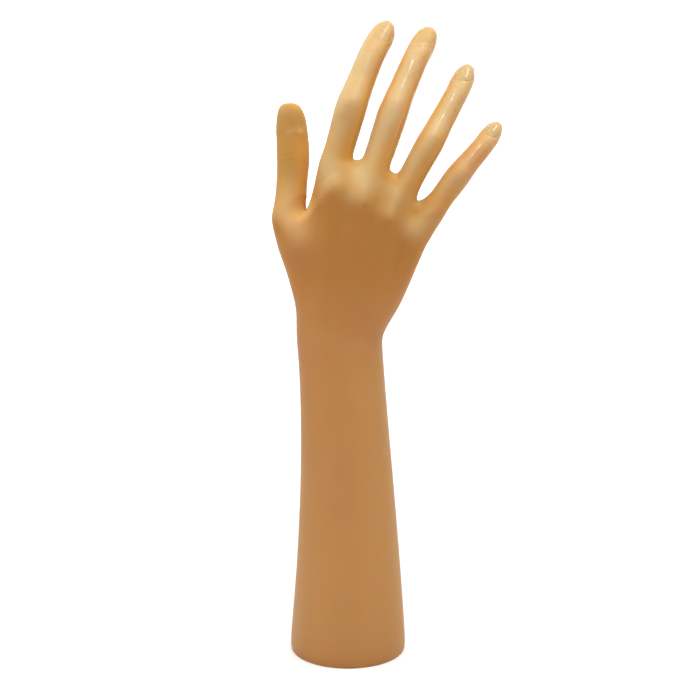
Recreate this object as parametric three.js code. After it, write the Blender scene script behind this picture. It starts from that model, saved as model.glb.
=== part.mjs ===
import * as THREE from 'three';

// Hand jewelry stand: a hollow vinyl right hand and forearm that stands on its weighted foot.
// Millimetres and degrees. The origin is the centre of the flat foot and Z points up.
// X runs from the thumb side to the little finger side, Y from the back of the hand to the palm.

// Wall of the moulding, and the foot at the cut end of the forearm
const wall = 2.6;
const footRadius = 29.3;
const footEdge = 0.8;
const footTrim = 0.5;

// Forearm sections: height as a share of its length, thumb and little finger edges, back and palm faces
const forearmLength = 181;
const forearm = [
  { at: 0.04, left: -footRadius, right: footRadius, back: -footRadius, palm: footRadius },
  { at: 0.14, left: -27.7, right: 28.1, back: -27.4, palm: 27.4 },
  { at: 0.26, left: -25.9, right: 26.5, back: -25.2, palm: 25.4 },
  { at: 0.44, left: -24.2, right: 23.8, back: -22.4, palm: 22.8 },
  { at: 0.61, left: -23.5, right: 21.1, back: -19.8, palm: 20.4 },
  { at: 0.785, left: -23.9, right: 18.4, back: -17.4, palm: 18 },
  { at: 0.875, left: -25, right: 17.3, back: -16.6, palm: 17 },
  { at: 0.917, left: -25.6, right: 16.8, back: -16.4, palm: 16.6 },
  { at: 0.956, left: -25.5, right: 20.6, back: -16.2, palm: 16.4 },
  { at: 1, left: -25.6, right: 25, back: -17, palm: 15.6 },
];
const cavityDome = 9;
const cavityDomeInset = 7;

// Hand from the wrist to the finger roots. Heights on the hand count from the last forearm section.
const handRows = [0.22, 0.44, 0.66, 0.85];
const knucklePalm = 4;
const knuckleValley = 1.8;
const littleEdge = { x: 38.8, y: -7.5, z: 32.4 };
const littleEdgeCorner = 0.75;
const littleEdgeRound = 0.6;
const webThickness = 9;
const webSlope = 2.5;
const webs = [
  { x: 4.6, y: -8, z: 75.6 },
  { x: 20.4, y: -7.5, z: 71.2 },
  { x: 31.6, y: -8, z: 52 },
];
const thumbWeb = { x: -19.4, y: -4, z: 48 };
const thumbWebThickness = 15;
const thumbWebDrop = 1;

// Fingers: knuckle on the back of the hand, root centre between the webs, width of the first bone, nail,
// and for each bone its length, its lean to the little finger side and its curl to the palm
const fingers = [
  {
    knuckle: { x: -10, y: -20.6, z: 65.5 },
    root: { x: -6.2, y: -7.8, z: 72.3 },
    width: 14.7,
    nail: { width: 7.4, length: 12.5 },
    bones: [
      { length: 30, lean: 16, curl: 10 },
      { length: 26.5, lean: 23, curl: 26 },
      { length: 21.6, lean: 33, curl: 40 },
    ],
  },
  {
    knuckle: { x: 6.5, y: -21.6, z: 58 },
    root: { x: 12.2, y: -9, z: 68.9 },
    width: 14.3,
    nail: { width: 8.2, length: 12.5 },
    bones: [
      { length: 33.5, lean: 19, curl: 13 },
      { length: 24.8, lean: 25, curl: 26 },
      { length: 20.8, lean: 31.5, curl: 39 },
    ],
  },
  {
    knuckle: { x: 19.5, y: -20, z: 48.3 },
    root: { x: 26.8, y: -8.4, z: 59.8 },
    width: 12.9,
    nail: { width: 7, length: 11.5 },
    bones: [
      { length: 28.5, lean: 29.5, curl: 9 },
      { length: 25.5, lean: 30.5, curl: 24 },
      { length: 17.6, lean: 29.5, curl: 38 },
    ],
  },
  {
    knuckle: { x: 31, y: -16, z: 38 },
    root: { x: 41.6, y: -8.6, z: 51.1 },
    width: 11.8,
    nail: { width: 6.2, length: 9.8 },
    bones: [
      { length: 21.8, lean: 37, curl: 9 },
      { length: 16.7, lean: 43, curl: 22 },
      { length: 15.9, lean: 42, curl: 36 },
    ],
  },
];
const thumb = {
  root: { x: -28.4, y: -2, z: 44.2 },
  width: 15.5,
  nail: { width: 12.4, length: 15.5 },
  bones: [
    { length: 31, lean: 3.5, curl: 10 },
    { length: 25.9, lean: -3.5, curl: 7 },
  ],
};
const thumbRootWidth = 16.4;
const thumbRootDepth = 14.6;
const thumbRoll = 8.5;

// Width along a finger as a share of its given width: at the root, at the joints and half-way between them
const fingerTaper = [1.04, 0.96, 1.07, 0.92, 0.88, 0.86];
const thumbTaper = [1.06, 0.96, 1.04, 0.98];
const fingerDepth = 0.92;
const rootSpread = 1.08;
const webClear = 3.2;
const tipRound = 0.75;

// Tips: how square they are, and how far the back stays flat as the tip rounds off
const fingerTip = { square: 2.1, flat: 0 };
const thumbTip = { square: 2.5, flat: 0.7 };

// Relief of the nails
const nailCorner = 0.8;
const nailRise = 0.15;
const nailGroove = 0.2;
const nailSoft = 0.7;

// Swellings and hollows of the hand: place on the skin, how far each spreads and how high it stands
const swellings = {
  ulnarHead: { x: 9, y: -16, z: -19, spread: 5, rise: 1.2 },
  thumbKnuckle: { x: -36, y: -8, z: 45, spread: 8, rise: 1 },
  thumbKnuckleBack: { x: -26, y: -12, z: 31.5, spread: 12, rise: 3 },
  hollowBelowThumb: { x: -31, y: -5, z: 21, spread: 11, rise: -0.9 },
  ballOfThumb: { x: -17, y: 11, z: 27, spread: 15, rise: 4.5 },
  heelOfPalm: { x: 17, y: 12, z: 15, spread: 15, rise: 2.5 },
  hollowOfPalm: { x: 8, y: 7, z: 36, spread: 11, rise: -2.5 },
};
const knuckleSpread = 6;
const knuckleRise = 0.7;
const jointSpread = 0.35;
const jointRise = 0.03;
const padSpread = 0.4;
const padRise = 0.07;

// Plug that closes the foot, and the weight that a screw and a washer hold on its boss
const plugFit = 0.4;
const plugFloor = 3;
const plugHeight = 16;
const plugDraft = 5;
const plugSkirt = 2;
const seatGap = 0.1;
const weightFit = 0.5;
const weightHeight = 18;
const weightChamfer = 1.2;
const bossRadius = 4.2;
const bossDrop = 8;
const washerRadius = 8;
const washerThickness = 1.2;
const screwRadius = 1.7;
const screwFit = 0.2;
const screwGrip = 6;
const headRadius = 4;
const headHeight = 2.6;
const driveRadius = 1.6;
const turnSteps = 64;

// The fingers and the thumb share columns of the cage with the trunk, so these two counts go together
const trunkColumns = 24;
const fingerColumns = 8;
const fingerRings = 9;
const tipTurns = [35, 60, 80];

const handBack = new THREE.Vector3(0, -1, 0);
const roll = THREE.MathUtils.degToRad(thumbRoll);
const thumbBack = new THREE.Vector3(-Math.sin(roll), -Math.cos(roll), 0);

const onHand = ({ x, y, z }) => new THREE.Vector3(x, y, forearmLength + z);

function boneDirection({ lean, curl }) {
  const side = THREE.MathUtils.degToRad(lean);
  const bend = THREE.MathUtils.degToRad(curl);
  return new THREE.Vector3(Math.sin(side) * Math.cos(bend), Math.sin(bend), Math.cos(side) * Math.cos(bend));
}

// Smoothing draws a ring of cage points in, so the ring is laid out larger by this factor
const cageGrowth = (columns) => 1 / (0.75 + 0.25 * Math.cos((2 * Math.PI) / columns));

// Oval ring, from the thumb side over the back to the little finger side and under the palm
function ovalRing({ left, right, back, palm }, z, inset = 0) {
  const grow = cageGrowth(trunkColumns);
  const halfWidth = ((right - left) / 2 - inset) * grow;
  const halfDepth = ((palm - back) / 2 - inset) * grow;
  return Array.from({ length: trunkColumns }, (_, k) => {
    const angle = Math.PI + (k / trunkColumns) * 2 * Math.PI;
    const x = (left + right) / 2 + halfWidth * Math.cos(angle);
    const y = (back + palm) / 2 + halfDepth * Math.sin(angle);
    return new THREE.Vector3(x, y, z);
  });
}

const footRing = (radius, z) => ovalRing({ left: -radius, right: radius, back: -radius, palm: radius }, z);

const forearmRing = (section, inset) => ovalRing(section, section.at * forearmLength, inset);

// Back and side directions across a finger that runs in the given direction
function fingerAxes(direction, facing) {
  const back = facing.clone().addScaledVector(direction, -facing.dot(direction)).normalize();
  return { back, side: direction.clone().cross(back) };
}

// Ring of a finger, from its thumb side over its back to the other side and under its pad
function fingerRing(centre, direction, facing, width, depth) {
  const { back, side } = fingerAxes(direction, facing);
  const grow = cageGrowth(fingerColumns) / 2;
  return Array.from({ length: fingerColumns }, (_, k) => {
    const angle = (k / fingerColumns) * 2 * Math.PI;
    return centre.clone()
      .addScaledVector(side, -Math.cos(angle) * width * grow)
      .addScaledVector(back, Math.sin(angle) * depth * grow);
  });
}

// Centre line of a finger through its joints and the middles of its bones
function fingerLine({ root, bones }) {
  const stops = [onHand(root)];
  for (const bone of bones) {
    const half = boneDirection(bone).multiplyScalar(bone.length / 2);
    stops.push(stops.at(-1).clone().add(half));
    stops.push(stops.at(-1).clone().add(half));
  }
  return new THREE.CatmullRomCurve3(stops);
}

// Cage of four-sided faces
const cage = { points: [], faces: [] };

function addPoint(place) {
  return cage.points.push(place) - 1;
}

function bridge(lower, upper) {
  lower.forEach((_, i) => {
    const next = (i + 1) % lower.length;
    cage.faces.push([lower[i], lower[next], upper[next], upper[i]]);
  });
}

function addRing(ring, below) {
  const indices = ring.map(addPoint);
  if (below) bridge(below, indices);
  return indices;
}

function closeRing(ring, centre) {
  const pole = addPoint(centre);
  for (let i = 0; i < ring.length; i += 2) {
    cage.faces.push([pole, ring[i], ring[i + 1], ring[(i + 2) % ring.length]]);
  }
}

function growFinger(finger, taper, tip, facing, rootRing) {
  const line = fingerLine(finger);
  const reach = line.getLength();
  const first = webClear / reach;
  const last = 1 - (finger.width * tipRound) / reach;
  const widths = new THREE.SplineCurve(taper.map((share, i) => new THREE.Vector2(i, share)));
  const stride = (last - first) / (fingerRings - 1);
  const steps = Array.from({ length: fingerRings }, (_, i) => first + i * stride);
  tipTurns.forEach((turn) => steps.push(last + (1 - last) * Math.sin(THREE.MathUtils.degToRad(turn))));
  const widthAt = (step) => finger.width * widths.getPoint(Math.min(step / last, 1)).y;
  const roundingAt = (step) => {
    const into = Math.max(0, (step - last) / (1 - last));
    return (1 - into ** tip.square) ** (1 / tip.square);
  };
  const centreAt = (step) => {
    const { back } = fingerAxes(line.getTangentAt(step), facing);
    const lift = (tip.flat * (1 - roundingAt(step)) * widthAt(step) * fingerDepth) / 2;
    return line.getPointAt(step).addScaledVector(back, lift);
  };
  let ring = rootRing;
  for (const step of steps) {
    const width = widthAt(step) * roundingAt(step);
    const tangent = line.getTangentAt(step);
    ring = addRing(fingerRing(centreAt(step), tangent, facing, width, width * fingerDepth), ring);
  }
  closeRing(ring, centreAt(1));
}

// Ring through the four knuckles and around the root of the thumb, numbered like a forearm section
function knuckleRing() {
  const ring = [];
  const place = (column, { x, z }, back, palm) => {
    ring[column] = onHand({ x, y: back, z });
    ring[trunkColumns - column] = onHand({ x, y: palm, z });
  };
  const knuckles = fingers.map(({ knuckle: { x, y, z } }) => new THREE.Vector3(x, y, z));
  knuckles.forEach((knuckle, i) => place(4 + 2 * i, knuckle, knuckle.y, knucklePalm));
  webs.forEach((_, i) => {
    const valley = knuckles[i].clone().lerp(knuckles[i + 1], 0.5);
    place(5 + 2 * i, valley, valley.y + knuckleValley, knucklePalm);
  });
  const corner = knuckles[3].clone().lerp(littleEdge, littleEdgeCorner);
  const rounded = (littleEdgeRound * (knucklePalm - knuckles[3].y)) / 2;
  place(11, corner, littleEdge.y - rounded, littleEdge.y + rounded);
  ring[12] = onHand(littleEdge);
  const halfWeb = thumbWebThickness / 2;
  place(3, { x: thumbWeb.x, z: thumbWeb.z - thumbWebDrop }, thumbWeb.y - halfWeb, thumbWeb.y + halfWeb);
  const upward = new THREE.Vector3(0, 0, 1);
  const root = fingerRing(onHand(thumb.root), upward, thumbBack, thumbRootWidth, thumbRootDepth);
  [ring[0], ring[1], ring[2]] = root;
  [ring[22], ring[23]] = [root[6], root[7]];
  return ring;
}

// Ring through the finger roots and the webs, from the thumb side over the back and under the palm
function fingerRootRing() {
  const back = [];
  const palm = [];
  const roots = fingers.map(({ root, width, bones }) => {
    const size = width * rootSpread;
    return fingerRing(onHand(root), boneDirection(bones[0]), handBack, size, size);
  });
  roots.forEach((ring, i) => {
    back[1 + 2 * i] = ring[2];
    palm[1 + 2 * i] = ring[6];
  });
  webs.forEach(({ x, y, z }, i) => {
    back[2 + 2 * i] = onHand({ x, y: y - webThickness / 2, z: z - webSlope });
    palm[2 + 2 * i] = onHand({ x, y: y + webThickness / 2, z });
  });
  const [index, , , little] = roots;
  [back[0], palm[0]] = [index[1], index[7]];
  [back[8], palm[8]] = [little[3], little[5]];
  return [index[0], ...back, little[4], ...palm.reverse()];
}

function buildCage() {
  // Outer skin from the foot to the knuckles
  const rim = addRing(footRing(footRadius - footEdge, 0));
  let skin = addRing(footRing(footRadius, footEdge), rim);
  for (const section of forearm) {
    skin = addRing(forearmRing(section), skin);
  }
  const heel = forearmRing(forearm.at(-1));
  const knuckles = knuckleRing();
  for (const share of handRows) {
    skin = addRing(heel.map((place, k) => place.clone().lerp(knuckles[k], share)), skin);
  }
  skin = addRing(knuckles, skin);

  // The thumb leaves at its web and the palm goes on to the finger roots
  const crotch = addPoint(onHand(thumbWeb));
  growFinger(thumb, thumbTaper, thumbTip, thumbBack, [...skin.slice(0, 4), crotch, ...skin.slice(21)]);
  const palm = [crotch, ...skin.slice(3, 22)];
  const roots = fingerRootRing();
  const halfWay = palm.map((index, k) => cage.points[index].clone().lerp(roots[k], 0.5));
  const top = addRing(roots, addRing(halfWay, palm));
  const sides = [top[0], ...webs.map((web) => addPoint(onHand(web))), top[10]];
  fingers.forEach((finger, i) => {
    const back = top.slice(1 + 2 * i, 4 + 2 * i);
    const pad = top.slice(17 - 2 * i, 20 - 2 * i);
    growFinger(finger, fingerTaper, fingerTip, handBack, [sides[i], ...back, sides[i + 1], ...pad]);
  });

  // Cavity from the foot up into the heel of the hand
  const lining = [footRing(footRadius - wall, footEdge)];
  forearm.filter((_, i) => i % 2 === 0).forEach((section) => lining.push(forearmRing(section, wall)));
  lining.push(ovalRing(forearm.at(-1), forearmLength + cavityDome, cavityDomeInset));
  let inner = addRing(footRing(footRadius - wall + footEdge, 0));
  bridge(inner, rim);
  for (const ring of lining) {
    const upper = addRing(ring);
    bridge(upper, inner);
    inner = upper;
  }
  closeRing(inner.reverse(), new THREE.Vector3(0, 0, forearmLength + cavityDome));
}

function middleOf(points, face) {
  const middle = new THREE.Vector3();
  face.forEach((index) => middle.addScaledVector(points[index], 1 / face.length));
  return middle;
}

const edgesOf = (face) => face.map((corner, i) => [corner, face[(i + 1) % face.length]]);

const trianglesOf = ([hub, ...rest]) => rest.slice(1).map((end, i) => [hub, rest[i], end]);

// Each chosen face becomes four, and a neighbour that is left whole takes up the new points on its edges
function splitFaces({ points, faces }, isChosen) {
  const split = { points: points.map((place) => place.clone()), faces: [], fixed: new Set() };
  const middles = new Map();
  const keyOf = (edge) => `${Math.min(...edge)} ${Math.max(...edge)}`;
  const chosen = faces.map((face) => isChosen(middleOf(points, face)));
  faces.filter((_, f) => chosen[f]).flatMap(edgesOf).forEach((edge) => {
    if (middles.has(keyOf(edge))) return;
    middles.set(keyOf(edge), split.points.push(middleOf(points, edge)) - 1);
  });
  faces.forEach((face, f) => {
    const halves = edgesOf(face).map((edge) => middles.get(keyOf(edge)));
    if (chosen[f]) {
      const hub = split.points.push(middleOf(points, face)) - 1;
      face.forEach((corner, i) => split.faces.push([corner, halves[i], hub, halves.at(i - 1)]));
      return;
    }
    const start = Math.max(0, halves.findIndex((half) => half !== undefined));
    const outline = face.flatMap((_, i) => {
      const k = (start + i) % face.length;
      return [halves[k], face[(k + 1) % face.length]];
    });
    const whole = outline.filter((index) => index !== undefined);
    whole.forEach((index) => split.fixed.add(index));
    split.faces.push(whole);
  });
  return split;
}

// Draws each point towards the middles of the faces around it
function relax({ points, faces, fixed }) {
  const sums = points.map(() => new THREE.Vector3());
  const counts = points.map(() => 0);
  for (const face of faces) {
    const middle = middleOf(points, face);
    face.forEach((index) => {
      sums[index].add(middle);
      counts[index] += 1;
    });
  }
  points.forEach((place, i) => {
    if (!fixed.has(i)) place.lerp(sums[i].divideScalar(counts[i]), 4 / counts[i]);
  });
}

function normalsOf({ points, faces }) {
  const normals = points.map(() => new THREE.Vector3());
  for (const face of faces) {
    for (const triangle of trianglesOf(face)) {
      const [a, b, c] = triangle.map((index) => points[index]);
      const normal = b.clone().sub(a).cross(c.clone().sub(a));
      face.forEach((index) => normals[index].add(normal));
    }
  }
  return normals.map((normal) => normal.normalize());
}

// Soft pads under the bones of a finger, and the back of its middle joint
function fingerSwellings(finger, facing) {
  const line = fingerLine(finger);
  const reach = finger.bones.reduce((sum, { length }) => sum + length, 0);
  const swelling = (along, side, spread, rise) => {
    const { back } = fingerAxes(line.getTangentAt(along / reach), facing);
    const place = line.getPointAt(along / reach).addScaledVector(back, (side * finger.width) / 2);
    return { place, spread: finger.width * spread, rise: finger.width * rise };
  };
  let start = 0;
  const pads = finger.bones.map(({ length }) => {
    start += length;
    return swelling(start - length / 2, -1, padSpread, padRise);
  });
  return [...pads, swelling(finger.bones[0].length, 1, jointSpread, jointRise)];
}

function raiseSwellings(skin) {
  const all = Object.values(swellings).map((swelling) => ({ ...swelling, place: onHand(swelling) }));
  all.push(...fingerSwellings(thumb, thumbBack));
  for (const finger of fingers) {
    const place = onHand(finger.knuckle);
    all.push({ place, spread: knuckleSpread, rise: knuckleRise });
    all.push(...fingerSwellings(finger, handBack));
  }
  const normals = normalsOf(skin);
  skin.points.forEach((point, i) => {
    const height = all.reduce((sum, { place, spread, rise }) => {
      const away = point.distanceTo(place) / spread;
      return sum + rise * Math.exp(-away * away);
    }, 0);
    point.addScaledVector(normals[i], height);
  });
}

// Distance of a point on the skin from the outline of a nail, below zero inside it
function nailOutline({ nail, width, ...finger }, facing) {
  const line = fingerLine(finger);
  const direction = line.getTangentAt(1);
  const { back, side } = fingerAxes(direction, facing);
  const corner = (nail.width / 2) * nailCorner;
  const middle = line.getPointAt(1).addScaledVector(direction, -nail.length / 2);
  return (point) => {
    const away = point.clone().sub(middle);
    if (away.dot(back) < 0 || away.length() > width) return Infinity;
    const across = Math.max(Math.abs(away.dot(side)) - nail.width / 2 + corner, 0);
    const lengthways = Math.max(Math.abs(away.dot(direction)) - nail.length / 2 + corner, 0);
    return Math.hypot(across, lengthways) - corner;
  };
}

function raiseNails(skin, outlines) {
  const normals = normalsOf(skin);
  skin.points.forEach((point, i) => {
    const away = Math.min(...outlines.map((outline) => outline(point))) / nailSoft;
    const plate = nailRise * THREE.MathUtils.smoothstep(-away, -1, 1);
    point.addScaledVector(normals[i], plate - nailGroove * Math.exp(-away * away));
  });
}

function handShell() {
  buildCage();
  let skin = splitFaces(cage, () => true);
  relax(skin);
  raiseSwellings(skin);
  const outlines = fingers.map((finger) => nailOutline(finger, handBack));
  outlines.push(nailOutline(thumb, thumbBack));
  skin = splitFaces(skin, (middle) => outlines.some((outline) => outline(middle) < 2 * nailSoft));
  relax(skin);
  raiseNails(skin, outlines);
  skin.points.filter(({ z }) => z < footTrim).forEach((point) => point.setZ(0));
  const geometry = new THREE.BufferGeometry().setFromPoints(skin.points);
  geometry.setIndex(skin.faces.flatMap(trianglesOf).flat());
  geometry.computeVertexNormals();
  return geometry;
}

// Turned part from a profile of radius and height
function turned(profile) {
  const points = profile.map(([radius, height]) => new THREE.Vector2(radius, height));
  return new THREE.LatheGeometry(points, turnSteps).rotateX(Math.PI / 2);
}

const plugRadius = footRadius - wall - plugFit;
const skirtRadius = plugRadius - plugHeight * Math.tan(THREE.MathUtils.degToRad(plugDraft));
const weightRadius = skirtRadius - plugSkirt - weightFit;
const weightSeat = plugFloor + seatGap;
const weightTop = weightSeat + weightHeight;
const bossTop = weightTop - bossDrop;
const washerSeat = weightTop + seatGap;
const headSeat = washerSeat + washerThickness + seatGap;
const screwHole = screwRadius + screwFit;

function basePlug() {
  return turned([
    [0, 0],
    [plugRadius - footEdge, 0],
    [plugRadius, footEdge],
    [plugRadius, plugFloor],
    [skirtRadius, plugHeight],
    [skirtRadius - plugSkirt, plugHeight],
    [skirtRadius - plugSkirt, plugFloor],
    [bossRadius, plugFloor],
    [bossRadius, bossTop],
    [screwHole, bossTop],
    [screwHole, plugFloor],
    [0, plugFloor],
  ]);
}

function ballastWeight() {
  const bore = bossRadius + weightFit;
  return turned([
    [bore, weightSeat],
    [weightRadius - weightChamfer, weightSeat],
    [weightRadius, weightSeat + weightChamfer],
    [weightRadius, weightTop - weightChamfer],
    [weightRadius - weightChamfer, weightTop],
    [bore, weightTop],
    [bore, weightSeat],
  ]);
}

function ballastWasher() {
  return turned([
    [screwHole, washerSeat],
    [washerRadius, washerSeat],
    [washerRadius, washerSeat + washerThickness],
    [screwHole, washerSeat + washerThickness],
    [screwHole, washerSeat],
  ]);
}

function ballastScrew() {
  const end = bossTop - screwGrip;
  return turned([
    [0, end],
    [screwRadius, end + screwRadius],
    [screwRadius, headSeat],
    [headRadius, headSeat],
    [headRadius, headSeat + headHeight / 2],
    [headRadius - headHeight / 2, headSeat + headHeight],
    [driveRadius, headSeat + headHeight],
    [0, headSeat + headHeight / 2],
  ]);
}

const stand = new THREE.Group();
stand.name = 'hand_jewelry_stand';

function addPart(name, geometry, color, roughness, metalness) {
  const part = new THREE.Mesh(geometry, new THREE.MeshStandardMaterial({ color, roughness, metalness }));
  part.name = name;
  stand.add(part);
}

addPart('hand_shell', handShell(), 0xe3b98c, 0.45, 0);
addPart('base_plug', basePlug(), 0xd8d2c4, 0.6, 0);
addPart('ballast_weight', ballastWeight(), 0x3c3d40, 0.7, 0.9);
addPart('ballast_washer', ballastWasher(), 0xb9bcc0, 0.35, 1);
addPart('ballast_screw', ballastScrew(), 0xc3c6ca, 0.3, 1);

export default stand;
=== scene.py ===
import math

import bpy
import numpy as np
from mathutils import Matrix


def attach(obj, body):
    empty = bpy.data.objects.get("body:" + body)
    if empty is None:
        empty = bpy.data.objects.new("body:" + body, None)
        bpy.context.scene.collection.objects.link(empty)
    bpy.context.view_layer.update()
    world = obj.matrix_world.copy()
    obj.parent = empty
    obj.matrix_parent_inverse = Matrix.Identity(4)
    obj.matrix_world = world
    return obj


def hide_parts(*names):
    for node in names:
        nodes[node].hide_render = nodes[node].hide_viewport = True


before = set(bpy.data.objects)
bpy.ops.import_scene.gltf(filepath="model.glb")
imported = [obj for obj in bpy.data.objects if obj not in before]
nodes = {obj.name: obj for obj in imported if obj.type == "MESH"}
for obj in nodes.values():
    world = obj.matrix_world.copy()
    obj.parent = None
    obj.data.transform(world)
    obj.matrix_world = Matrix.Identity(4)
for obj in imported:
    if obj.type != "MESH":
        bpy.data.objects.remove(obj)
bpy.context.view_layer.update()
mm = 0.001
print("frame loaded:", ", ".join(sorted(nodes)))


# the camera stands in front of the back of the hand and looks slightly down; millimetres and degrees
cameraSetup = {
    "target": (1.03, 0.0, 158.4),
    "distance": 1200.0,
    "elevation": 16.0,
    "lens": 124.46,
    "sensor": 36.0,
}


def addCamera():
    x, y, z = cameraSetup["target"]
    tilt = math.radians(cameraSetup["elevation"])
    reach = cameraSetup["distance"]
    place = (x * mm, (y - reach * math.cos(tilt)) * mm, (z + reach * math.sin(tilt)) * mm)
    bpy.ops.object.camera_add(location=place, rotation=(math.pi / 2 - tilt, 0, 0))
    cam = bpy.context.object
    cam.data.sensor_width = cameraSetup["sensor"]
    cam.data.lens = cameraSetup["lens"]
    bpy.context.scene.camera = cam


# lamps: place in metres, width and height in metres, watts, and whether glossy skin mirrors them;
# each looks at the middle of the hand
studioSetup = {
    "lookAt": (0.0, 0.0, 0.2),
    "lamps": {
        "overLight": {"place": (0.0, 0.1, 1.9), "size": (0.9, 0.9), "watts": 24.0, "mirrored": False},
        "frontLight": {"place": (0.0, -0.8, 1.7), "size": (0.8, 0.8), "watts": 8.9, "mirrored": False},
        "leftLight": {"place": (-1.4, -0.2, 0.6), "size": (1.2, 1.2), "watts": 7.0, "mirrored": False},
        "rightLight": {"place": (1.4, -0.2, 0.6), "size": (1.2, 1.2), "watts": 5.0, "mirrored": False},
        "backLight": {"place": (0.0, 1.5, 1.0), "size": (1.2, 1.2), "watts": 6.0, "mirrored": False},
        "smallLight": {"place": (0.15, -1.15, 1.65), "size": (0.2, 0.2), "watts": 4.0, "mirrored": True},
        "nailLight": {"place": (0.95, -0.05, 1.73), "size": (1.0, 0.3), "watts": 5.5, "mirrored": True},
    },
    "ambient": 0.03,
    "floorSize": 8.0,
    "floorColour": (0.72, 0.72, 0.72, 1),
    "floorGlow": (0.3, 1.0),       # near the foot and far away
    "glowReach": (0.25, 1.4),
}


def pick(*objs):
    bpy.ops.object.select_all(action="DESELECT")
    for obj in objs:
        obj.select_set(True)
    bpy.context.view_layer.objects.active = objs[0]


def newMaterial(name):
    material = bpy.data.materials.new(name)
    material.use_nodes = True
    tree = material.node_tree
    tree.nodes.clear()
    output = tree.nodes.new("ShaderNodeOutputMaterial")
    return material, tree, output


def addNode(tree, kind, values=None, **settings):
    node = tree.nodes.new("ShaderNode" + kind)
    for name, value in settings.items():
        setattr(node, name, value)
    for socket, value in (values or {}).items():
        node.inputs[socket].default_value = value
    return node


def link(tree, source, target):
    tree.links.new(source, target)


# any ray that only looks at the surroundings sees plain white
def lookingRay(tree):
    path = addNode(tree, "LightPath")
    looking = addNode(tree, "Math", operation="ADD")
    link(tree, path.outputs["Is Camera Ray"], looking.inputs[0])
    link(tree, path.outputs["Is Glossy Ray"], looking.inputs[1])
    either = addNode(tree, "Math", operation="ADD", use_clamp=True)
    link(tree, looking.outputs[0], either.inputs[0])
    link(tree, path.outputs["Is Transmission Ray"], either.inputs[1])
    return either.outputs[0]


def addLamps():
    for name, lamp in studioSetup["lamps"].items():
        bpy.ops.object.light_add(type="AREA", location=lamp["place"])
        light = bpy.context.object
        light.name = name
        light.data.shape = "RECTANGLE"
        light.data.size, light.data.size_y = lamp["size"]
        light.data.energy = lamp["watts"]
        x, y, z = (b - a for a, b in zip(lamp["place"], studioSetup["lookAt"]))
        light.rotation_euler = (math.atan2(math.hypot(x, y), -z), 0, math.atan2(-x, y))
        light.visible_glossy = lamp["mirrored"]


def addWorld():
    world = bpy.data.worlds.new("studio")
    world.use_nodes = True
    bpy.context.scene.world = world
    tree = world.node_tree
    shade = tree.nodes["Background"]
    strength = addNode(tree, "MapRange", {"To Min": studioSetup["ambient"], "To Max": 1.0})
    link(tree, lookingRay(tree), strength.inputs["Value"])
    link(tree, strength.outputs["Result"], shade.inputs["Strength"])
    shade.inputs["Color"].default_value = (1, 1, 1, 1)


def floorMaterial():
    material, tree, output = newMaterial("paleFloor")
    coat = addNode(tree, "BsdfDiffuse", {"Color": studioSetup["floorColour"]})
    glow = addNode(tree, "Emission")
    place = addNode(tree, "TexCoord")
    away = addNode(tree, "VectorMath", operation="LENGTH")
    link(tree, place.outputs["Object"], away.inputs[0])
    near, far = studioSetup["glowReach"]
    low, high = studioSetup["floorGlow"]
    fade = addNode(tree, "MapRange", {"From Min": near, "From Max": far, "To Min": low, "To Max": high})
    link(tree, away.outputs["Value"], fade.inputs["Value"])
    lit = addNode(tree, "Math", operation="MULTIPLY")
    link(tree, lookingRay(tree), lit.inputs[0])
    link(tree, fade.outputs["Result"], lit.inputs[1])
    link(tree, lit.outputs[0], glow.inputs["Strength"])
    both = addNode(tree, "AddShader")
    link(tree, coat.outputs[0], both.inputs[0])
    link(tree, glow.outputs[0], both.inputs[1])
    link(tree, both.outputs[0], output.inputs["Surface"])
    return material


def addFloor():
    bpy.ops.object.select_all(action="DESELECT")
    bpy.ops.mesh.primitive_plane_add(size=studioSetup["floorSize"], location=(0, 0, 0))
    floor = bpy.context.object
    floor.name = "floor"
    floor.data.materials.append(floorMaterial())


addCamera()
addLamps()
addWorld()
addFloor()
print("camera and studio set")


# the fingers as they stand, in millimetres and degrees: root, width, nail width and length as cast,
# how far the back turns to the thumb side, and for each bone its length, its lean to the little finger
# side and its curl to the palm
fingerLayout = {
    "index": {
        "root": (-6.2, -7.8, 253.3), "width": 14.7, "nail": (7.4, 12.5), "roll": 0.0,
        "bones": [(30, 16, 10), (26.5, 23, 26), (21.6, 33, 40)],
    },
    "middle": {
        "root": (12.2, -9.0, 249.9), "width": 14.3, "nail": (8.2, 12.5), "roll": 0.0,
        "bones": [(33.5, 19, 13), (24.8, 25, 26), (20.8, 31.5, 39)],
    },
    "ring": {
        "root": (26.8, -8.4, 240.8), "width": 12.9, "nail": (7.0, 11.5), "roll": 0.0,
        "bones": [(28.5, 29.5, 9), (25.5, 30.5, 24), (17.6, 29.5, 38)],
    },
    "little": {
        "root": (41.6, -8.6, 232.1), "width": 11.8, "nail": (6.2, 9.8), "roll": 0.0,
        "bones": [(21.8, 37, 9), (16.7, 43, 22), (15.9, 42, 36)],
    },
    "thumb": {
        "root": (-28.4, -2.0, 225.2), "width": 15.5, "nail": (12.4, 15.5), "roll": 8.5,
        "bones": [(31, 3.5, 10), (25.9, -3.5, 7)],
    },
}


def unit(vector):
    return vector / np.linalg.norm(vector)


def boneDirection(bone):
    lean, curl = np.radians(bone[1:])
    return np.array([np.sin(lean) * np.cos(curl), np.sin(curl), np.cos(lean) * np.cos(curl)])


# where a joint or a nail sits, with the directions along the finger, to its back and to its side
def seat(place, along, finger):
    turn = np.radians(finger["roll"])
    facing = np.array([-np.sin(turn), -np.cos(turn), 0.0])
    back = unit(facing - along * facing.dot(along))
    side = np.cross(along, back)
    return {"place": place, "along": along, "back": back, "side": side, "width": finger["width"]}


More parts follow.
